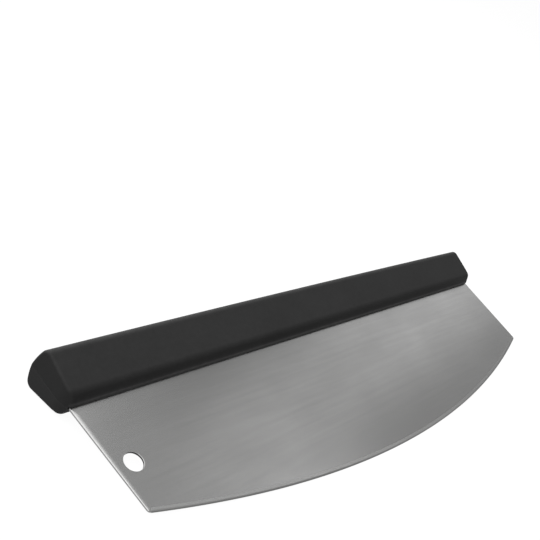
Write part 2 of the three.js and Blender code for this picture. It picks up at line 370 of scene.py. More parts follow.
def smooth(piece: bpy.types.Object) -> None:
    """Shades a piece smooth between its sharp edges, and keeps its flat faces flat."""
    piece.data.shade_smooth()
    piece.data.set_sharp_from_angle(angle=SHARP_ANGLE)
    piece.modifiers.new("flat_faces", "WEIGHTED_NORMAL").keep_sharp = True


# Node trees


class Graph:
    """Short calls for wiring a node tree."""

    def __init__(self, tree: bpy.types.NodeTree) -> None:
        """Starts from an emptied tree."""
        self.tree = tree
        tree.nodes.clear()

    def add(
        self, kind: str, inputs: dict[str | int, object] | None = None, **settings: object
    ) -> bpy.types.Node:
        """Adds a node.

        Args:
            kind: The node's type.
            inputs: What goes into its sockets: another node's output, or a plain value.
            settings: The node's own properties.

        Returns:
            The new node.
        """
        node = self.tree.nodes.new(kind)
        for name, value in settings.items():
            setattr(node, name, value)
        for name, value in (inputs or {}).items():
            if isinstance(value, bpy.types.NodeSocket):
                self.tree.links.new(value, node.inputs[name])
            else:
                node.inputs[name].default_value = value
        return node

    def noise(self, waves: Waves) -> bpy.types.NodeSocket:
        """Adds a noise in the piece's own frame.

        Args:
            waves: Its waves per metre along x, y and z.

        Returns:
            The noise, a half on average.
        """
        here = self.add("ShaderNodeTexCoord").outputs["Object"]
        stretched = self.add("ShaderNodeVectorMath", {0: here, 1: waves}, operation="MULTIPLY")
        inputs = {"Vector": stretched.outputs[0], "Scale": 1.0, "Detail": NOISE_DETAIL}
        return self.add("ShaderNodeTexNoise", inputs).outputs[0]

    def math(self, operation: str, *terms: object) -> bpy.types.NodeSocket:
        """Adds a sum, product or other rule of arithmetic on numbers and outputs."""
        return self.add("ShaderNodeMath", dict(enumerate(terms)), operation=operation).outputs[0]

    def mixed(self, first: object, second: object, share: float) -> bpy.types.NodeSocket:
        """Adds two noises, of which the first has this share."""
        rest = self.math("MULTIPLY", second, 1 - share)
        return self.math("MULTIPLY_ADD", first, share, rest)

    def stretch(self, noise: object, low: float, high: float) -> bpy.types.NodeSocket:
        """Stretches the middle of a noise over a range.

        Args:
            noise: The noise.
            low: Where the range starts.
            high: Where it ends.

        Returns:
            The number.
        """
        middle = {"From Min": 0.5 - NOISE_SPAN / 2, "From Max": 0.5 + NOISE_SPAN / 2}
        inputs = {"Value": noise, **middle, "To Min": low, "To Max": high}
        return self.add("ShaderNodeMapRange", inputs).outputs[0]

    def tone(self, share: object, colour: Colour, play: float) -> bpy.types.NodeSocket:
        """Adds a colour that goes a little darker and lighter.

        Args:
            share: 0 where it is darkest and 1 where it is lightest.
            colour: The colour in the middle.
            play: How far it goes either way, as a share of the colour.

        Returns:
            The colour.
        """
        ramp = self.add("ShaderNodeValToRGB", {0: share})
        for stop, factor in zip(ramp.color_ramp.elements, (1 - play, 1 + play)):
            stop.color = (*(part * factor for part in colour), 1)
        return ramp.outputs[0]

    def bump(self, height: object, depth: float) -> bpy.types.NodeSocket:
        """Adds a relief of this depth in metres."""
        return self.add("ShaderNodeBump", {"Distance": depth, "Height": height}).outputs[0]

    def surface(self, shader: bpy.types.Node) -> None:
        """Makes a shader the surface of the material or world."""
        world = any(n.bl_idname == "ShaderNodeBackground" for n in self.tree.nodes)
        kind = "ShaderNodeOutputWorld" if world else "ShaderNodeOutputMaterial"
        self.add(kind, {"Surface": shader.outputs[0]})


def new_material(name: str) -> tuple[bpy.types.Material, Graph]:
    """Gives a new material and its emptied node tree."""
    made = bpy.data.materials.new(name)
    made.use_nodes = True
    return made, Graph(made.node_tree)


# Finishes


@dataclass(frozen=True)
class Steel:
    """Bare steel, with fine lines from brushing or grinding and soft cloudy patches."""

    name: str
    colour: Colour
    roughness: float
    lines: Waves
    patches: Waves
    colour_play: float = 0.06
    roughness_play: float = 0.05
    line_depth: float = 0.003 * MM
    anisotropy: float = 0.0
    line_share: float = 0.5  # how much of the play in tone and roughness comes from the lines

    def material(self) -> bpy.types.Material:
        """Makes the material."""
        made, graph = new_material(self.name)
        lines = graph.noise(self.lines)
        patches = graph.noise(self.patches)
        both = graph.mixed(lines, patches, self.line_share)
        low, high = self.roughness - self.roughness_play, self.roughness + self.roughness_play
        inputs = {
            "Base Color": graph.tone(graph.stretch(both, 0, 1), self.colour, self.colour_play),
            "Metallic": 1.0,
            "Roughness": graph.stretch(both, high, low),
            "Normal": graph.bump(lines, self.line_depth),
        }
        if self.anisotropy:
            inputs["Anisotropic"] = self.anisotropy
            across = graph.add("ShaderNodeTangent", direction_type="UV_MAP", uv_map=BRUSH_MAP)
            inputs["Tangent"] = across.outputs[0]
        graph.surface(graph.add("ShaderNodeBsdfPrincipled", inputs))
        return made


@dataclass(frozen=True)
class Resin:
    """Moulded resin with a fine matt texture, smoothed by wear along its edges, where a paler colour
    is painted on as a highlight.
    """

    name: str
    colour: Colour
    # The paler colour along the edges is a painted highlight; the lower roughness there is real wear.
    painted_edge_highlight_colour: Colour
    roughness: float
    rubbed_roughness: float
    specular: float
    grain: float = 2600  # waves per metre
    mottle: float = 420
    patches: float = 45
    grain_depth: float = 0.01 * MM
    mottle_share: float = 0.5  # how much of the play in tone and roughness comes from the mottle
    least_wear_and_highlight: float = 0.4  # share of the wear and painted highlight that shows where it is thinnest
    colour_play: float = 0.16
    roughness_play: float = 0.05

    def material(self) -> bpy.types.Material:
        """Makes the material."""
        made, graph = new_material(self.name)
        grain = graph.noise((self.grain,) * 3)
        mottle = graph.noise((self.mottle,) * 3)
        patches = graph.mixed(mottle, graph.noise((self.patches,) * 3), self.mottle_share)
        wear_and_highlight = graph.add("ShaderNodeAttribute", attribute_name=WEAR_AND_HIGHLIGHT).outputs["Fac"]
        wear_and_highlight_share = graph.math("MULTIPLY", wear_and_highlight, graph.stretch(patches, self.least_wear_and_highlight, 1))
        plain = graph.tone(graph.stretch(patches, 0, 1), self.colour, self.colour_play)
        colours = {0: wear_and_highlight_share, 6: plain, 7: (*self.painted_edge_highlight_colour, 1)}  # the factor and two colours, the paler one a painted highlight along the edges
        colour = graph.add("ShaderNodeMix", colours, data_type="RGBA").outputs[2]
        low, high = self.roughness - self.roughness_play, self.roughness + self.roughness_play
        matt = graph.stretch(patches, low, high)
        drop = self.rubbed_roughness - self.roughness
        inputs = {
            "Base Color": colour,
            "Roughness": graph.math("MULTIPLY_ADD", wear_and_highlight_share, drop, matt),
            "Specular IOR Level": self.specular,
            "Normal": graph.bump(grain, self.grain_depth),
        }
        graph.surface(graph.add("ShaderNodeBsdfPrincipled", inputs))
        return made


@dataclass(frozen=True)
class PaleFloor:
    """A white floor that stays white for the eye, and still takes the object's shadow."""

    name: str = "pale_floor"
    colour: float = 0.2
    seen_colour: float = 0.12
    seen_glow: float = 0.95

    def material(self) -> bpy.types.Material:
        """Makes the material."""
        made, graph = new_material(self.name)
        path = graph.add("ShaderNodeLightPath").outputs
        seen = graph.math("MAXIMUM", path["Is Camera Ray"], path["Is Glossy Ray"])
        seen = graph.math("MAXIMUM", seen, path["Is Transmission Ray"])
        plain = graph.add("ShaderNodeBsdfDiffuse", {"Color": (*(self.colour,) * 3, 1)})
        pale = graph.add("ShaderNodeBsdfDiffuse", {"Color": (*(self.seen_colour,) * 3, 1)})
        glow = graph.add("ShaderNodeEmission", {"Strength": self.seen_glow})
        bright = graph.add("ShaderNodeAddShader", {0: pale.outputs[0], 1: glow.outputs[0]})
        ways = {0: seen, 1: plain.outputs[0], 2: bright.outputs[0]}
        graph.surface(graph.add("ShaderNodeMixShader", ways))
        return made


FACE_STEEL = Steel(
    name="brushed_blade_steel",
    colour=(0.47, 0.47, 0.466),
    roughness=0.24,
    lines=(20, 450, 450),
    patches=(24, 45, 45),
    colour_play=0.09,
    roughness_play=0.025,
    anisotropy=0.3,
    line_share=0.35,
)
GROUND_STEEL = Steel(
    name="ground_edge_steel",
    colour=(0.49, 0.49, 0.486),
    roughness=0.32,
    lines=(3600, 150, 150),
    patches=(90, 90, 90),
)
# The sheared walls are darker than the face: partly a duller sheared finish, partly painted shade.
SHEARED_AND_SHADED_STEEL = Steel(
    name="sheared_edge_steel_and_shade",
    colour=(0.3, 0.3, 0.3),
    roughness=0.48,
    lines=(900, 900, 300),
    patches=(90, 90, 90),
)
# The hole's wall is painted nearly black: this is painted shade inside the hole, not the steel's own
# colour.
SHADED_BORE_STEEL = Steel(
    name="punched_hole_painted_shade",
    colour=(0.05, 0.05, 0.05),
    roughness=0.5,
    lines=(900, 900, 300),
    patches=(90, 90, 90),
)
PIN_STEEL = Steel(
    name="drawn_pin_steel",
    colour=(0.5, 0.5, 0.5),
    roughness=0.3,
    lines=(2400, 2400, 60),
    patches=(120, 120, 120),
)
BLACK_RESIN = Resin(
    name="black_matt_resin",
    colour=(0.034, 0.034, 0.034),
    painted_edge_highlight_colour=(0.12, 0.12, 0.12),
    roughness=0.7,
    rubbed_roughness=0.55,
    specular=0.14,
)


# The tool


@dataclass(frozen=True)
class ToolPlace:
    """Where the tool's own frame lies in the shared frame, read from the blade's face."""

    mount: str = "blade_front_face"
    depth: float = 40 * MM  # from the lip down to that mount's point
    face: float = 0.5 * MM  # from the blade's middle plane to it

    def matrix(self) -> Matrix:
        """Gives the matrix from the tool's frame to the shared frame."""
        mount = next(m for m in frame["record"]["mounts"] if m["name"] == self.mount)
        axis = Vector(mount["axis"])
        turn = Matrix.Rotation(math.atan2(-axis.y, axis.z), 4, "X")
        origin = Vector(mount["pos_m"]) - turn @ Vector((0, -self.depth, self.face))
        return Matrix.Translation(origin) @ turn


def settle(piece: bpy.types.Object, node: str, place: Matrix) -> None:
    """Puts a piece where the CAD node that it stands for is.

    Args:
        piece: The piece, drawn in the tool's frame.
        node: The CAD node.
        place: The matrix from the tool's frame to the shared frame.
    """
    piece.data.transform(place)
    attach(piece, BODY)
    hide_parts(node)
    corners = np.array([v.co for v in piece.data.vertices])
    low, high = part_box(node)
    apart = max(np.abs(corners.min(0) - low).max(), np.abs(corners.max(0) - high).max())
    count = len(piece.data.polygons)
    LOG.info("%s: %d faces, box within %.2f mm of its node", piece.name, count, apart / MM)


class EdgeKind(Enum):
    """How a stretch of the blade's border was finished."""

    PLAIN = "plain"
    SHEARED = "sheared"
    PUNCHED = "punched"
    GROUND = "ground"


class BladeFinish(Enum):
    """The finishes on the blade, by their number on its mesh."""

    FACE = 0
    GROUND = 1
    SHEARED = 2
    # The hole's wall, painted dark as shade.
    BORE = 3


@dataclass(frozen=True)
class BorderPoint:
    """A point on an outline of the blade, between one kind of edge and another."""

    place: Vector
    outward: Vector
    kind: EdgeKind
    other: EdgeKind
    share: float  # of the other kind

    def is_mostly(self, kind: EdgeKind) -> bool:
        """Says whether this kind of edge has the larger share here."""
        return kind is (self.other if self.share > 0.5 else self.kind)


@dataclass
class Blade:
    """The steel plate, with a curved ground edge, leaning sides, a hanging hole and a pinned tang."""

    name: str = "steel_blade"
    node: str = "blade"
    slot: str = "blade_steel"
    top_half: float = 179 * MM
    tip_inset: float = 4 * MM
    depth: float = 76 * MM
    edge_sag: float = 24.8 * MM
    tip_round: float = 2 * MM
    thickness: float = 1 * MM
    seat: float = 1.6 * MM  # how far the plate goes up past the lip at its full length
    shoulder: float = 9 * MM
    tang_top: float = 19.1 * MM
    corner_round: float = 1.5 * MM
    hollow_round: float = 0.2 * MM
    bevel_height: float = 2 * MM
    bevel_power: float = 4.0  # how late the ground strip bends down, on its way to the edge
    edge_thickness: float = 0.2 * MM
    roll_width: float = 2 * MM  # strip along a sheared side where the plate bends down
    roll_drop: float = 0.2 * MM
    punch_width: float = 0.3 * MM  # the same, round the hanging hole
    punch_drop: float = 0.1 * MM
    plain_round: float = 0.1 * MM
    flat_border: float = 0.2 * MM  # strip of flat face that keeps its shading clean
    run_in: float = 3 * MM  # over which a side's shape starts, below its shoulder
    hole_radius: float = 4.5 * MM
    hole_side_web: float = 4.7 * MM
    hole_tip_web: float = 16.7 * MM
    pin_hole: float = 2.3 * MM
    pin_height: float = 9.55 * MM
    pin_count: int = 5
    pin_margin: float = 10 * MM
    edge_steps: int = 240
    tip_steps: int = 12
    corner_steps: int = 5
    run_in_steps: int = 4
    bend_steps: int = 8
    hole_steps: int = 96
    pin_steps: int = 48

    def __post_init__(self) -> None:
        """Works out the places that follow from the sizes."""
        self.face = self.thickness / 2
        self.tip_half = self.top_half - self.tip_inset
        self.tip_depth = self.depth - self.edge_sag
        self.seat_half = self.top_half + self.tip_inset * self.seat / self.tip_depth
        self.tang_half = self.top_half - self.shoulder
        self.edge_radius = arc_radius(self.tip_half, self.edge_sag)
        self.edge_centre = Vector((0, self.edge_radius - self.depth))

    def pin_places(self) -> list[Vector]:
        """Gives the middles of the tang's pin holes."""
        span = 2 * (self.tang_half - self.pin_margin)
        return [Vector((x, self.pin_height)) for x in spread(self.pin_count, span)]

    def hole_centre(self) -> Vector:
        """Gives the middle of the hanging hole."""
        depth = self.tip_depth - self.hole_tip_web - self.hole_radius
        side = self.top_half - self.tip_inset * depth / self.tip_depth
        return Vector((self.hole_side_web + self.hole_radius - side, -depth))

    def side(self, end: int) -> Line:
        """Gives the line of the blade's left side for -1, and of its right side for 1."""
        top = Vector((end * self.top_half, 0))
        tip = Vector((end * self.tip_half, -self.tip_depth))
        return Line.through(top, tip) if end < 0 else Line.through(tip, top)

    def along(self, arc: Arc, steps: int, kind: EdgeKind, other: EdgeKind) -> list[BorderPoint]:
        """Gives the border along an arc.

        Args:
            arc: The arc.
            steps: How many steps it is drawn with.
            kind: The kind of edge where it starts.
            other: The kind of edge where it ends.

        Returns:
            The points, both ends included.
        """
        places = zip(arc.points(steps), arc.headings(steps), shares(steps))
        return [BorderPoint(p, heading(a), kind, other, share) for p, a, share in places]

    def run_along(self, line: Line, end: int) -> list[BorderPoint]:
        """Gives the border where a side's shape starts, just below its shoulder.

        Args:
            line: The side.
            end: -1 for the left side, which runs down, or 1 for the right side, which runs up.

        Returns:
            The points between the plain corner and the sheared side, in the outline's order.
        """
        shoulder = Line(math.pi / 2, self.seat)
        top = line.crossing(shoulder, 0)
        down = heading(line.angle + math.pi / 2) * -end
        outward = heading(line.angle)
        points = []
        for share in shares(self.run_in_steps)[1:]:
            place = top + down * (self.corner_round + share * self.run_in)
            points.append(BorderPoint(place, outward, EdgeKind.PLAIN, EdgeKind.SHEARED, share))
        return points if end < 0 else points[::-1]

    def tip(self, end: int) -> Arc:
        """Gives the round from a side to the cutting edge, or back at the right end."""
        line = self.side(end)
        centre = line.round_into_arc(self.edge_centre, self.edge_radius, self.tip_round, -end)
        touch = angle_of(centre - self.edge_centre)
        side = touch + math.remainder(line.angle - touch, 2 * math.pi)
        return Arc(centre, self.tip_round, *((side, touch) if end < 0 else (touch, side)))

    def outline(self) -> list[BorderPoint]:
        """Gives the whole outline, counterclockwise from the left shoulder."""
        plain, sheared, ground = EdgeKind.PLAIN, EdgeKind.SHEARED, EdgeKind.GROUND
        left, right = self.side(-1), self.side(1)
        left_tip, right_tip = self.tip(-1), self.tip(1)
        edge = Arc(self.edge_centre, self.edge_radius, left_tip.end, right_tip.start)
        shoulder, top = Line(math.pi / 2, self.seat), Line(math.pi / 2, self.tang_top)
        tang_right, tang_left = Line(0, self.tang_half), Line(math.pi, self.tang_half)
        corner, hollow = self.corner_round, -self.hollow_round
        points = self.along(Arc.corner(shoulder, left, corner), self.corner_steps, plain, plain)
        points += self.run_along(left, -1)
        points += self.along(left_tip, self.tip_steps, sheared, ground)
        points += self.along(edge, self.edge_steps, ground, ground)[1:-1]
        points += self.along(right_tip, self.tip_steps, ground, sheared)
        points += self.run_along(right, 1)
        turns = [
            Arc.corner(right, shoulder, corner),
            Arc.corner(shoulder, tang_right, hollow),
            Arc.corner(tang_right, top, corner),
            Arc.corner(top, tang_left, corner),
            Arc.corner(tang_left, shoulder, hollow),
        ]
        for turn in turns:
            points += self.along(turn, self.corner_steps, plain, plain)
        return points

    def hole(self, centre: Vector, radius: float, steps: int, kind: EdgeKind) -> list[BorderPoint]:
        """Gives the border of a hole, clockwise, so that the steel lies on its left."""
        turns = [heading(-2 * math.pi * i / steps) for i in range(steps)]
        return [BorderPoint(centre + turn * radius, -turn, kind, kind, 0) for turn in turns]

    def profile(self, kind: EdgeKind, front: bool) -> np.ndarray:
        """Gives the section of a border, from the flat face out to its wall.

        Args:
            kind: The kind of edge.
            front: Whether it is on the front face, where shearing bends the plate down.

        Returns:
            Rows of how far in from the outline and how far from the middle plane.
        """
        if kind is EdgeKind.GROUND:
            fall = self.face - self.edge_thickness / 2
            rows = [(self.bevel_height + self.flat_border, self.face)]
            for t in shares(self.bend_steps):
                rows.append((self.bevel_height * (1 - t), self.face - fall * t**self.bevel_power))
            return np.array(rows)
        rolls = {
            EdgeKind.SHEARED: (self.roll_width, self.roll_drop),
            EdgeKind.PUNCHED: (self.punch_width, self.punch_drop),
        }
        plain = (self.plain_round, self.plain_round)
        width, drop = rolls.get(kind, plain) if front else plain
        rows = [(width + self.flat_border, self.face)]
        for t in shares(self.bend_steps):
            turn = t * math.pi / 2
            rows.append((width * (1 - math.sin(turn)), self.face - drop * (1 - math.cos(turn))))
        return np.array(rows)

    def rim(self, draft: Draft, border: list[BorderPoint]) -> tuple[list[int], list[int]]:
        """Draws the rim of the plate along a border.

        Args:
            draft: Where it is drawn.
            border: The border.

        Returns:
            The ring that bounds the front face, and the ring that bounds the back face.
        """
        sections = []
        for point in border:
            halves = []
            for front in (True, False):
                own, other = self.profile(point.kind, front), self.profile(point.other, front)
                halves.append(own + (other - own) * point.share)
            halves[1][:, 1] *= -1
            sections.append(np.concatenate([halves[0], halves[1][::-1]]))
        count = len(sections[0])
        rings = []
        for k in range(count):
            flat = [p.place - p.outward * s[k][0] for p, s in zip(border, sections)]
            rings.append(draft.ring(Vector((q.x, q.y, s[k][1])) for q, s in zip(flat, sections)))
        for k in range(count - 1):
            wall = k == count // 2 - 1

            def finish(i: int, level: int = k, wall: bool = wall) -> int:
                """Gives the finish of one face of the rim."""
                if border[i].is_mostly(EdgeKind.GROUND) and 0 < level < count - 2:
                    return BladeFinish.GROUND.value
                if wall and border[i].is_mostly(EdgeKind.PUNCHED):
                    return BladeFinish.BORE.value
                return BladeFinish.SHEARED.value if wall else BladeFinish.FACE.value

            draft.band(rings[k + 1], rings[k], finish)
        return rings[0], rings[-1]

    def build(self, place: Matrix) -> bpy.types.Object:
        """Makes the blade and dresses it.

        Args:
            place: The matrix from the tool's frame to the shared frame.

        Returns:
            The blade.
        """
        draft = Draft()
        hanging = self.hole_centre()
        hole = self.hole(hanging, self.hole_radius, self.hole_steps, EdgeKind.PUNCHED)
        borders = [self.outline(), hole]
        for centre in self.pin_places():
            borders.append(self.hole(centre, self.pin_hole, self.pin_steps, EdgeKind.PLAIN))
        rims = [self.rim(draft, border) for border in borders]
        draft.cap([front for front, _ in rims], Vector((0, 0, 1)))
        draft.cap([back for _, back in rims], Vector((0, 0, -1)))
        piece = placed(draft.mesh(self.name))
        brushing = piece.data.uv_layers.new(name=BRUSH_MAP)
        for loop, uv in zip(piece.data.loops, brushing.uv):
            where = piece.data.vertices[loop.vertex_index].co
            uv.vector = (where.y, where.x)
        for finish in (FACE_STEEL, GROUND_STEEL, SHEARED_AND_SHADED_STEEL, SHADED_BORE_STEEL):
            piece.data.materials.append(finish.material())
        smooth(piece)
        settle(piece, self.node, place)
        return piece


class Side(Enum):
    """The two halves of the handle."""

    FRONT = "front"
    BACK = "back"


@dataclass
class HandleHalf:
    """A moulded half of the handle: a ribbed shell with pin sockets and half of the steel's slot."""

    side: Side
    slot: str = "black_resin"
    length: float = 364.2 * MM
    height: float = 25.6 * MM  # lip to the middle of the crowned top, at the ends
    top_bow: float = 0.5 * MM  # how much higher the top is halfway along
    crown_rise: float = 2.3 * MM
    grip_width: float = 23.6 * MM
    foot_width: float = 14 * MM
    foot_rise: float = 3.2 * MM
    lip_width: float = 4 * MM
    lip_rise: float = 0.6 * MM  # how far wear has set the lip back into the handle
    upper_round: float = 3.6 * MM
    lower_round: float = 4 * MM
    lip_round: float = 0.6 * MM
    end_round: float = 1.2 * MM
    end_lean: float = 0.051
    end_draft: float = 0.096  # how far an end face falls back for each unit away from the seam
    chin_height: float = 7.5 * MM  # below which each end face curves back towards the lip
    chin_setback: float = 2.3 * MM
    lip_wear_and_highlight: float = 1.0  # how far the lip, the ridge and the ends' edges are smoothed by wear and painted paler as a highlight
    ridge_wear_and_highlight: float = 0.9
    end_wear_and_highlight: float = 0.12
    wear_and_highlight_reach: float = 0.75  # share of the ridge's round over which the wear and painted highlight come up
    wear_and_highlight_fade: int = 6  # how fast it fades over the face that follows
    flash_width: float = 0.7 * MM  # of the low ridge along the seam, on the end faces
    flash_height: float = 0.12 * MM
    least_round: float = 0.05 * MM
    wall: float = 2.5 * MM
    end_wall: float = 5 * MM
    rib_thickness: float = 1.8 * MM
    ribs_between_pins: int = 2
    boss_wall: float = 2 * MM
    seam_gap: float = 0.04 * MM  # between the two halves
    seam_round: float = 0.3 * MM  # of the edge that meets the other half's along the top
    slot_gap: float = 0.05 * MM  # around the blade's full length and on each side of the tang
    tang_room: float = 0.3 * MM  # above and beside the tang
    overshoot: float = 1 * MM  # how far a cutter reaches past the face that it opens
    end_grid: float = 0.7 * MM
    crown_steps: int = 20
    corner_steps: int = 12
    flat_steps: int = 6
    end_steps: int = 12
    bow_steps: int = 24
    seam_steps: int = 4
    down_steps: int = 32
    pin_steps: int = 48

    def __post_init__(self) -> None:
        """Works out the lines of the section that follow from the sizes."""
        lip = Vector((self.lip_width / 2, self.lip_rise))
        foot = Vector((self.foot_width / 2, self.foot_rise))
        grip = Vector((self.grip_width / 2, self.height - self.crown_rise))
        self.lip_line = Line.through(Vector((0, self.lip_rise)), lip)
        self.under_line = Line.through(lip, foot)
        self.side_line = Line.through(foot, grip)
        self.crown_radius = arc_radius(self.grip_width / 2, self.crown_rise)
        self.seam_face = self.seam_gap / 2
        self.straight = self.length / 2 - self.end_round

    def section(self, inset: float, lift: float = 0.0) -> tuple[list[Vector], list[float]]:
        """Gives the section of this half, from the seam under the lip round to the seam at the top.

        Args:
            inset: How far it is drawn in.
            lift: How far the bow raises the top.

        Returns:
            Its points, as distance from the middle plane and height above the lip, and how far
            each is smoothed by wear and painted paler as a highlight.
        """

        def rounding(radius: float) -> float:
            """Gives a radius that the inset leaves room for."""
            return max(radius, inset + self.least_round)

        lip = Arc.corner(self.lip_line, self.under_line, rounding(self.lip_round), inset)
        foot = Arc.corner(self.under_line, self.side_line, rounding(self.lower_round), inset)
        upper = rounding(self.upper_round)
        middle = Vector((0, self.height + lift - self.crown_radius))
        centre = self.side_line.round_into_arc(middle, self.crown_radius, upper, 1)
        crown_start = angle_of(centre - middle)
        grip = Arc(centre, upper - inset, self.side_line.angle, crown_start)
        reach = self.crown_radius - inset
        turn_in = self.seam_face + self.seam_round
        crown = Arc(middle, reach, crown_start, math.acos(turn_in / reach)).points(self.crown_steps)
        seam_centre = Vector((turn_in, crown[-1].y - self.seam_round))
        seam = Arc(seam_centre, self.seam_round, math.pi / 2, math.pi).points(self.seam_steps)
        points, wear_and_highlight_levels = [Vector((self.seam_face, self.lip_rise + inset))], [self.lip_wear_and_highlight]
        along_flat, along_corner = shares(self.flat_steps)[1:-1], shares(self.corner_steps)
        # The lip and the ridge are smoothed by wear and painted paler as a highlight.
        for turn, wear_and_highlight in ((lip, self.lip_wear_and_highlight), (foot, 0.0), (grip, self.ridge_wear_and_highlight)):
            corner = turn.points(self.corner_steps)
            start = wear_and_highlight_levels[-1]
            level = wear_and_highlight if turn is lip else 0.0
            points += [points[-1].lerp(corner[0], t) for t in along_flat] + corner
            wear_and_highlight_levels += [level + (start - level) * (1 - t) ** self.wear_and_highlight_fade for t in along_flat]
            wear_and_highlight_levels += [level + (wear_and_highlight - level) * swell(t / self.wear_and_highlight_reach) for t in along_corner]
        points += crown[1:] + seam[1:]
        fade = [self.ridge_wear_and_highlight * (1 - t) ** self.wear_and_highlight_fade for t in shares(self.crown_steps)[1:]]
        return points, wear_and_highlight_levels + fade + [0.0] * self.seam_steps

    def closed_section(self, inset: float, lift: float = 0.0) -> tuple[list[Vector], list[float]]:
        """Gives the section as a closed outline, with points down the seam's face too.

        Args:
            inset: How far it is drawn in.
            lift: How far the bow raises the top.

        Returns:
            Its points, and how far each is smoothed by wear and painted paler as a highlight.
        """
        points, wear_and_highlight_levels = self.section(inset, lift)
        down = [points[-1].lerp(points[0], t) for t in shares(self.down_steps)[1:-1]]
        return points + down, wear_and_highlight_levels + [0.0] * len(down)

    def end_setback(self, point: Vector) -> float:
        """Gives how far an end face is set back at a point of the section.

        Args:
            point: The point.

        Returns:
            The distance: the face leans, falls back from the seam and rounds into the lip.
        """
        chin = self.chin_setback * max(1 - point.y / self.chin_height, 0) ** 2
        return self.end_lean * (self.height - point.y) + self.end_draft * point.x + chin

    def end_point(self, end: int, turn: float, point: Vector) -> Vector:
        """Puts a point of the section in space, on the way round one end.

        Args:
            end: -1 for the left end or 1 for the right end.
            turn: How far round the end it is, from 0 to a right angle.
            point: The point of the section.

        Returns:
            Its place.
        """
        reach = self.straight + self.end_round * math.sin(turn) - self.end_setback(point)
        flash = self.flash_height * max(1 - point.x / self.flash_width, 0) * math.sin(turn)
        return Vector((end * (reach + flash), point.y, point.x))

    def outside(self) -> bpy.types.Object:
        """Makes the outside: the section swept along the handle and drawn in round both ends."""
        draft = Draft()
        turns = [t * math.pi / 2 for t in shares(self.end_steps)]
        rings: list[list[int]] = []

        def add_end(end: int, turn: float) -> list[Vector]:
            """Adds a ring on the way round one end, and gives its points in the section."""
            points, section_wear_and_highlight = self.closed_section(self.end_round * (1 - math.cos(turn)))
            # The ends' edges are smoothed by wear and painted paler as a highlight.
            fade, edge = math.cos(turn), self.end_wear_and_highlight * math.sin(2 * turn)
            wear_and_highlight_levels = [max(wear_and_highlight * fade, edge) for wear_and_highlight in section_wear_and_highlight]
            rings.append(draft.ring((self.end_point(end, turn, p) for p in points), wear_and_highlight_levels))
            return points

        for turn in turns[::-1]:
            add_end(1, turn)
        for t in shares(self.bow_steps)[1:-1]:
            points, wear_and_highlight_levels = self.closed_section(0, self.top_bow * (1 - (1 - 2 * t) ** 2))
            where = self.straight * (1 - 2 * t)
            rings.append(draft.ring((Vector((where, p.y, p.x)) for p in points), wear_and_highlight_levels))
        for turn in turns:
            face = add_end(-1, turn)
        for first, second in zip(rings, rings[1:]):
            draft.band(first, second)
        for end, ring in ((1, rings[0]), (-1, rings[-1])):
            lift = partial(self.end_point, end, turns[-1])
            draft.relief(ring, face, self.end_grid, lift, Vector((end, 0, 0)))
        return placed(draft.mesh(f"handle_{self.side.value}_half_shell"))

    def pocket(self, low: float, high: float) -> list[list[Vector]]:
        """Gives the rings of a hollow between two ribs, open at the seam.

        Args:
            low: Where it starts along the handle.
            high: Where it ends.

        Returns:
            Its two end rings.
        """
        points, _ = self.section(self.wall)
        mouth = [Vector((-self.overshoot, p.y)) for p in (points[-1], points[0])]
        return [[Vector((x, p.y, p.x)) for p in points + mouth] for x in (high, low)]

    def steel_slot(self, reach: float, height: float, room: float) -> bpy.types.Object:
        """Makes the cutter for the slot that a stretch of the steel sits in.

        Args:
            reach: Half of that stretch's length.
            height: How far it goes up from the lip.
            room: How much larger the slot is, at its ends and top.

        Returns:
            The cutter, which is half a plate thick and a little more.
        """
        far, top = reach + room, height + room
        corners = [(-far, -self.overshoot), (far, -self.overshoot), (far, top), (-far, top)]
        depth = Blade.thickness / 2 + self.slot_gap
        return bar([Vector(corner) for corner in corners], -self.overshoot, depth)

    def build(self, blade: Blade, resin: bpy.types.Material, place: Matrix) -> bpy.types.Object:
        """Makes this half and dresses it.

        Args:
            blade: The blade that it holds.
            resin: What it is moulded from.
            place: The matrix from the tool's frame to the shared frame.

        Returns:
            The half.
        """
        piece = self.outside()
        pins = blade.pin_places()
        half = self.length / 2
        bay = (pins[1] - pins[0]).x / (self.ribs_between_pins + 1)
        ribs = [p.x + bay * k for p in pins[:-1] for k in range(1, self.ribs_between_pins + 1)]
        stops = [x + way * self.rib_thickness / 2 for x in ribs for way in (-1, 1)]
        bounds = [self.end_wall - half, *stops, half - self.end_wall]
        socket = blade.pin_hole
        outward = heading(self.side_line.angle)
        reach = self.side_line.reach - outward.y * (blade.pin_height - socket)
        socket_depth = reach / outward.x - self.wall
        for low, high in zip(bounds[::2], bounds[1::2]):
            hollow = placed(loft(self.pocket(low, high)).mesh("hollow"))
            for pin in pins:
                if low < pin.x < high:
                    boss = circle(pin, socket + self.boss_wall, self.pin_steps)
                    cut(hollow, bar(boss, -2 * self.overshoot, self.grip_width))
            cut(piece, hollow)
        cut(piece, self.steel_slot(blade.tang_half, blade.tang_top, self.tang_room))
        cut(piece, self.steel_slot(blade.seat_half, blade.seat, self.slot_gap))
        for pin in pins:
            cut(piece, bar(circle(pin, socket, self.pin_steps), -self.overshoot, socket_depth))
        if self.side is Side.BACK:
            piece.data.transform(Matrix.Rotation(math.pi, 4, "Y"))
        piece.data.materials.clear()
        piece.data.materials.append(resin)
        smooth(piece)
        settle(piece, f"handle_{self.side.value}_half", place)
        return piece


@dataclass(frozen=True)
class TangPins:
    """The hidden dowel pins, which keep their CAD shape and get a drawn finish."""

    nodes: str = "tang_pin_"

    def dress(self) -> None:
        """Gives the pins their finish."""
        finish = PIN_STEEL.material()
        for name, node in sorted(frame["nodes"].items()):
            if name.startswith(self.nodes):
                node.data.materials.clear()
                node.data.materials.append(finish)
                LOG.info("%s: CAD shape kept", name)


# The studio


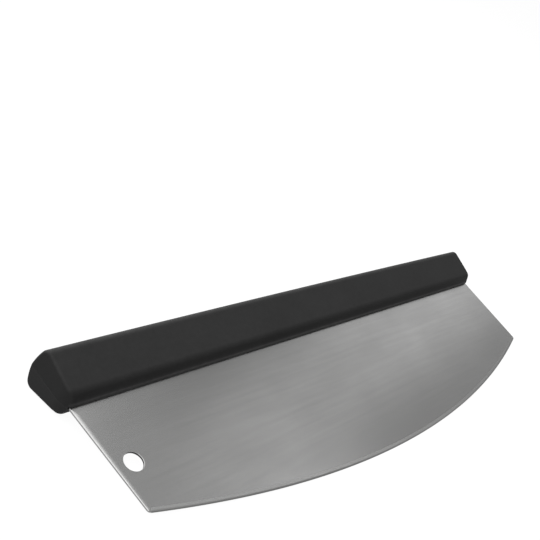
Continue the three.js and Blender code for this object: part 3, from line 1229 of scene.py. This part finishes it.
@dataclass(frozen=True)
class PhotoCamera:
    """The camera that sees the tool as the photograph does, placed in the tool's frame."""

    place: tuple[float, float, float] = (-384.14 * MM, -128.68 * MM, 248.89 * MM)
    aim: tuple[float, float, float] = (-4.67 * MM, 47.09 * MM, 0.0)
    bank: float = math.radians(36.361)
    focal_pixels: float = 849.84
    image_pixels: float = 540
    sensor: float = 36.0  # millimetres, as Blender counts it
    sight: tuple[float, float] = (10 * MM, 100.0)  # nearest and farthest that it sees

    def build(self, tool: Matrix) -> bpy.types.Object:
        """Makes the camera and looks through it.

        Args:
            tool: The matrix from the tool's frame to the shared frame.

        Returns:
            The camera.
        """
        lens = bpy.data.cameras.new("photo_camera")
        lens.sensor_width = self.sensor
        lens.sensor_fit = "HORIZONTAL"
        lens.lens = self.sensor * self.focal_pixels / self.image_pixels
        lens.clip_start, lens.clip_end = self.sight
        camera = bpy.data.objects.new(lens.name, lens)
        bpy.context.scene.collection.objects.link(camera)
        ahead = Vector(self.aim) - Vector(self.place)
        turn = ahead.to_track_quat("-Z", "Y") @ Quaternion((0, 0, 1), self.bank)
        camera.matrix_world = tool @ Matrix.LocRotScale(Vector(self.place), turn, None)
        bpy.context.scene.camera = camera
        return camera


@dataclass(frozen=True)
class Softbox:
    """A soft rectangular lamp that faces the origin. A brightness of 1 would look white."""

    name: str
    azimuth: float  # degrees from +X towards +Y
    elevation: float  # degrees above the floor
    distance: float
    size: tuple[float, float]  # across and up
    brightness: float

    def build(self) -> bpy.types.Object:
        """Makes the lamp."""
        across, up = math.radians(self.azimuth), math.radians(self.elevation)
        flat = heading(across) * math.cos(up)
        place = Vector((flat.x, flat.y, math.sin(up))) * self.distance
        light = bpy.data.lights.new(self.name, "AREA")
        light.shape = "RECTANGLE"
        light.size, light.size_y = self.size
        light.energy = self.brightness * math.pi * self.size[0] * self.size[1]
        lamp = bpy.data.objects.new(self.name, light)
        bpy.context.scene.collection.objects.link(lamp)
        lamp.location = place
        lamp.rotation_mode = "QUATERNION"
        lamp.rotation_quaternion = (-place).to_track_quat("-Z", "Y")
        return lamp


@dataclass(frozen=True)
class Studio:
    """A pale floor, soft lamps and a plain grey sky."""

    floor_half: float = 20.0
    floor_drop: float = 0.02 * MM
    sky: float = 0.3
    lamps: tuple[Softbox, ...] = (
        Softbox("overhead_softbox", 90, 85, 1.2, (2.0, 2.0), 0.2),
        Softbox("rear_softbox", 132, 60, 1.2, (2.1, 1.8), 1.4),
        Softbox("right_strip", 12, 31, 1.5, (0.26, 1.05), 0.45),
        Softbox("right_low_panel", 8, 21, 1.5, (0.47, 0.52), 0.14),
        Softbox("right_high_panel", -4, 46, 1.5, (0.26, 0.26), 1.3),
        Softbox("right_front_panel", -14, 31, 1.5, (0.5, 0.45), 0.34),
    )

    def build(self) -> None:
        """Makes the floor, the lamps and the sky, and sets the plain view."""
        half = self.floor_half
        corners = [(-half, -half), (half, -half), (half, half), (-half, half)]
        draft = Draft()
        draft.face(draft.ring(Vector((x, y, -self.floor_drop)) for x, y in corners))
        floor = placed(draft.mesh("floor"))
        floor.data.materials.append(PaleFloor().material())
        for lamp in self.lamps:
            lamp.build()
        world = bpy.data.worlds.new("studio_sky")
        bpy.context.scene.world = world
        world.use_nodes = True
        graph = Graph(world.node_tree)
        graph.surface(graph.add("ShaderNodeBackground", {"Strength": self.sky}))
        bpy.context.scene.view_settings.view_transform = "Standard"


def main() -> None:
    """Builds the pieces in order and reports them."""
    logging.basicConfig(level=logging.INFO, format="%(message)s")
    place = ToolPlace().matrix()
    PhotoCamera().build(place)
    Studio().build()
    blade = Blade()
    blade.build(place)
    resin = BLACK_RESIN.material()
    for side in Side:
        HandleHalf(side).build(blade, resin, place)
    TangPins().dress()


if __name__ == "__main__":
    main()
